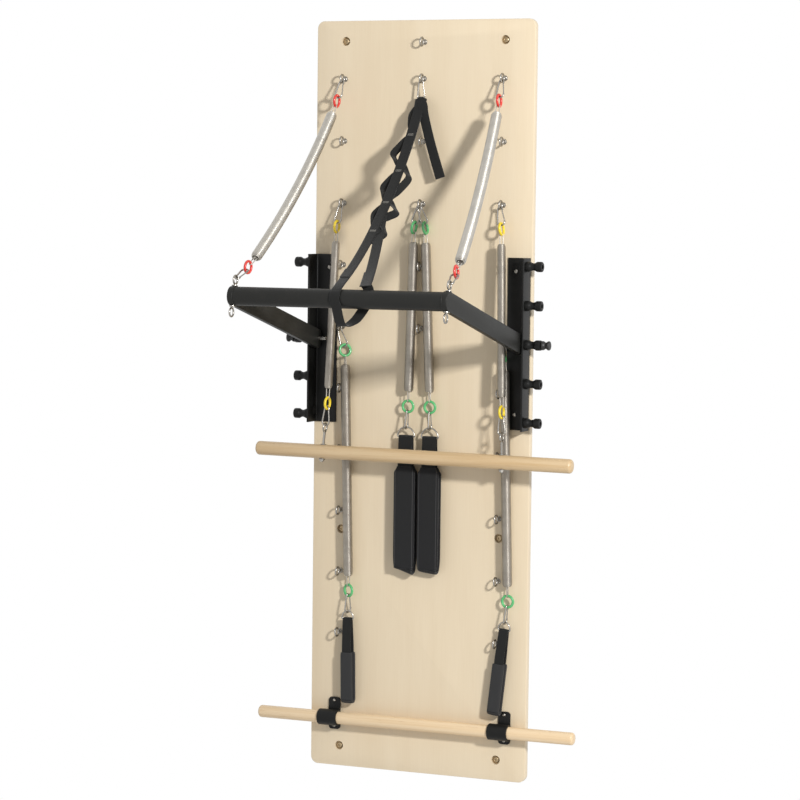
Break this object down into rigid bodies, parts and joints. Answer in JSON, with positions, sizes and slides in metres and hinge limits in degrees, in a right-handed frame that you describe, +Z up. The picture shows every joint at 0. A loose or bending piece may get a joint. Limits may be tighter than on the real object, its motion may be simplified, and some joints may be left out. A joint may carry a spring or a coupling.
{
  "type": "wall-mounted pilates tower unit",
  "caption": "Wall-mounted pilates springboard with a hinged push-through bar, hanging springs with foot loops and handles, and a roll-down dowel.",
  "frame": {"origin": "centre of the board's back face, which lies on the wall", "axes": "+X to the right as the unit is faced, +Y into the wall, +Z up; millimetres in the source, metres in the row"},
  "size_m": [0.9151, 0.5645, 2],
  "materials": {
    "board_wood": "pale cream lacquered ply, satin",
    "dowel_wood": "clear lacquered pale hardwood",
    "black_steel": "satin black powder coat",
    "bar_paint": "matt charcoal powder coat",
    "steel": "bright zinc plate",
    "spring_steel": "bright drawn spring wire",
    "knob_plastic": "matt black moulded plastic",
    "black_webbing": "woven black webbing"
  },
  "bodies": {
    "root": {"board": "board_wood", "eye_bolt_centre_0": "steel", "eye_bolt_left_1": "steel", "eye_bolt_centre_1": "steel", "eye_bolt_right_1": "steel", "eye_bolt_centre_2": "steel", "eye_bolt_left_3": "steel", "eye_bolt_centre_3": "steel", "eye_bolt_right_3": "steel", "eye_bolt_left_5": "steel", "eye_bolt_right_5": "steel", "left_bracket": "black_steel", "right_bracket": "black_steel", "lower_dowel": "dowel_wood", "left_dowel_clamp": "black_steel", "right_dowel_clamp": "black_steel", "safety_strap_carabiner": "steel", "safety_strap": "black_webbing"},
    "push_bar": {"push_through_bar": "bar_paint", "left_bar_eye_bolt": "steel", "right_bar_eye_bolt": "steel", "left_red_lower_carabiner": "steel", "right_red_lower_carabiner": "steel"},
    "left_pin": {"left_pull_pin": "knob_plastic"},
    "right_pin": {"right_pull_pin": "knob_plastic"},
    "left_red_link": {"left_red_upper_carabiner": "steel"},
    "left_red_reach": {"left_red_spring": "spring_steel"},
    "right_red_link": {"right_red_upper_carabiner": "steel"},
    "right_red_reach": {"right_red_spring": "spring_steel"},
    "roll_down_links": {"left_yellow_upper_carabiner": "steel", "right_yellow_upper_carabiner": "steel"},
    "roll_down": {"left_yellow_spring": "spring_steel", "right_yellow_spring": "spring_steel", "left_yellow_lower_carabiner": "steel", "right_yellow_lower_carabiner": "steel", "left_dowel_eye_bolt": "steel", "right_dowel_eye_bolt": "steel", "roll_down_dowel": "dowel_wood"},
    "left_leg_link": {"left_leg_upper_carabiner": "steel"},
    "left_foot": {"left_leg_spring": "spring_steel", "left_leg_lower_carabiner": "steel", "left_foot_loop_d_ring": "steel", "left_foot_loop": "black_webbing"},
    "left_arm_link": {"left_arm_upper_carabiner": "steel"},
    "left_hand": {"left_arm_spring": "spring_steel", "left_arm_lower_carabiner": "steel", "left_handle_d_ring": "steel", "left_handle_strap": "black_webbing", "left_handle_grip": "black_webbing"},
    "right_leg_link": {"right_leg_upper_carabiner": "steel"},
    "right_foot": {"right_leg_spring": "spring_steel", "right_leg_lower_carabiner": "steel", "right_foot_loop_d_ring": "steel", "right_foot_loop": "black_webbing"},
    "right_arm_link": {"right_arm_upper_carabiner": "steel"},
    "right_hand": {"right_arm_spring": "spring_steel", "right_arm_lower_carabiner": "steel", "right_handle_d_ring": "steel", "right_handle_strap": "black_webbing", "right_handle_grip": "black_webbing"}
  },
  "joints": [
    {"name": "bar_swing", "type": "hinge", "parent": "root", "child": "push_bar", "pos_m": [0, -0.052, 0.1555], "axis": [1, 0, 0], "range_deg": [-4, 35], "stiffness_Nm_per_rad": 120, "springref_deg": -25.21, "deforming": ["safety_strap"]},
    {"name": "left_red_swing", "type": "hinge", "parent": "root", "child": "left_red_link", "pos_m": [-0.2287, -0.0423, 0.8407], "axis": [1, 0, 0], "range_deg": [-2, 13]},
    {"name": "left_red_stretch", "type": "slide", "parent": "left_red_link", "child": "left_red_reach", "axis": [0, -0.6805, -0.7327], "range_m": [-0.032, 0.26], "deforming": ["left_red_spring"]},
    {"name": "left_pin_pull", "type": "slide", "parent": "root", "child": "left_pin", "axis": [-1, 0, 0], "range_m": [0, 0.045], "stiffness_N_per_m": 800, "springref_m": -0.01},
    {"name": "right_red_swing", "type": "hinge", "parent": "root", "child": "right_red_link", "pos_m": [0.2287, -0.0423, 0.8407], "axis": [1, 0, 0], "range_deg": [-2, 13]},
    {"name": "right_red_stretch", "type": "slide", "parent": "right_red_link", "child": "right_red_reach", "axis": [0, -0.6805, -0.7327], "range_m": [-0.032, 0.26], "deforming": ["right_red_spring"]},
    {"name": "right_pin_pull", "type": "slide", "parent": "root", "child": "right_pin", "axis": [1, 0, 0], "range_m": [0, 0.045], "stiffness_N_per_m": 800, "springref_m": -0.01},
    {"name": "roll_down_swing", "type": "hinge", "parent": "root", "child": "roll_down_links", "pos_m": [0, -0.0417, 0.5115], "axis": [-1, 0, 0], "range_deg": [0, 50]},
    {"name": "roll_down_pull", "type": "slide", "parent": "roll_down_links", "child": "roll_down", "axis": [0, -0.0624, -0.9981], "range_m": [0, 0.35], "stiffness_N_per_m": 200, "springref_m": -0.075, "deforming": ["left_yellow_spring", "right_yellow_spring"]},
    {"name": "left_leg_swing", "type": "hinge", "parent": "root", "child": "left_leg_link", "pos_m": [0, -0.044, 0.5077], "axis": [0, 1, 0], "range_deg": [0, 2.5]},
    {"name": "left_leg_pull", "type": "slide", "parent": "left_leg_link", "child": "left_foot", "axis": [-0.024, 0, -0.9997], "range_m": [0, 0.3], "stiffness_N_per_m": 300, "springref_m": -0.03, "deforming": ["left_leg_spring"]},
    {"name": "right_leg_swing", "type": "hinge", "parent": "root", "child": "right_leg_link", "pos_m": [0, -0.039, 0.5062], "axis": [0, -1, 0], "range_deg": [0, 2.5]},
    {"name": "right_leg_pull", "type": "slide", "parent": "right_leg_link", "child": "right_foot", "axis": [0.041, 0, -0.9992], "range_m": [0, 0.3], "stiffness_N_per_m": 300, "springref_m": -0.03, "deforming": ["right_leg_spring"]},
    {"name": "left_arm_swing", "type": "hinge", "parent": "root", "child": "left_arm_link", "pos_m": [-0.229, -0.04, 0.1772], "axis": [0, -1, 0], "range_deg": [0, 3]},
    {"name": "left_arm_pull", "type": "slide", "parent": "left_arm_link", "child": "left_hand", "axis": [0.026, 0, -0.9997], "range_m": [0, 0.012], "stiffness_N_per_m": 300, "springref_m": -0.04, "deforming": ["left_arm_spring"]},
    {"name": "right_arm_swing", "type": "hinge", "parent": "root", "child": "right_arm_link", "pos_m": [0.229, -0.04, 0.1772], "axis": [0, -1, 0], "range_deg": [0, 3]},
    {"name": "right_arm_pull", "type": "slide", "parent": "right_arm_link", "child": "right_hand", "axis": [0.03, 0, -0.9996], "range_m": [0, 0.012], "stiffness_N_per_m": 300, "springref_m": -0.04, "deforming": ["right_arm_spring"]}
  ],
  "couplings": [
    {"joint": "left_red_swing", "follows": "bar_swing", "ratio": 0.3356},
    {"joint": "left_red_stretch", "follows": "bar_swing", "m_per_rad": 0.404},
    {"joint": "right_red_swing", "follows": "bar_swing", "ratio": 0.3356},
    {"joint": "right_red_stretch", "follows": "bar_swing", "m_per_rad": 0.404}
  ]
}
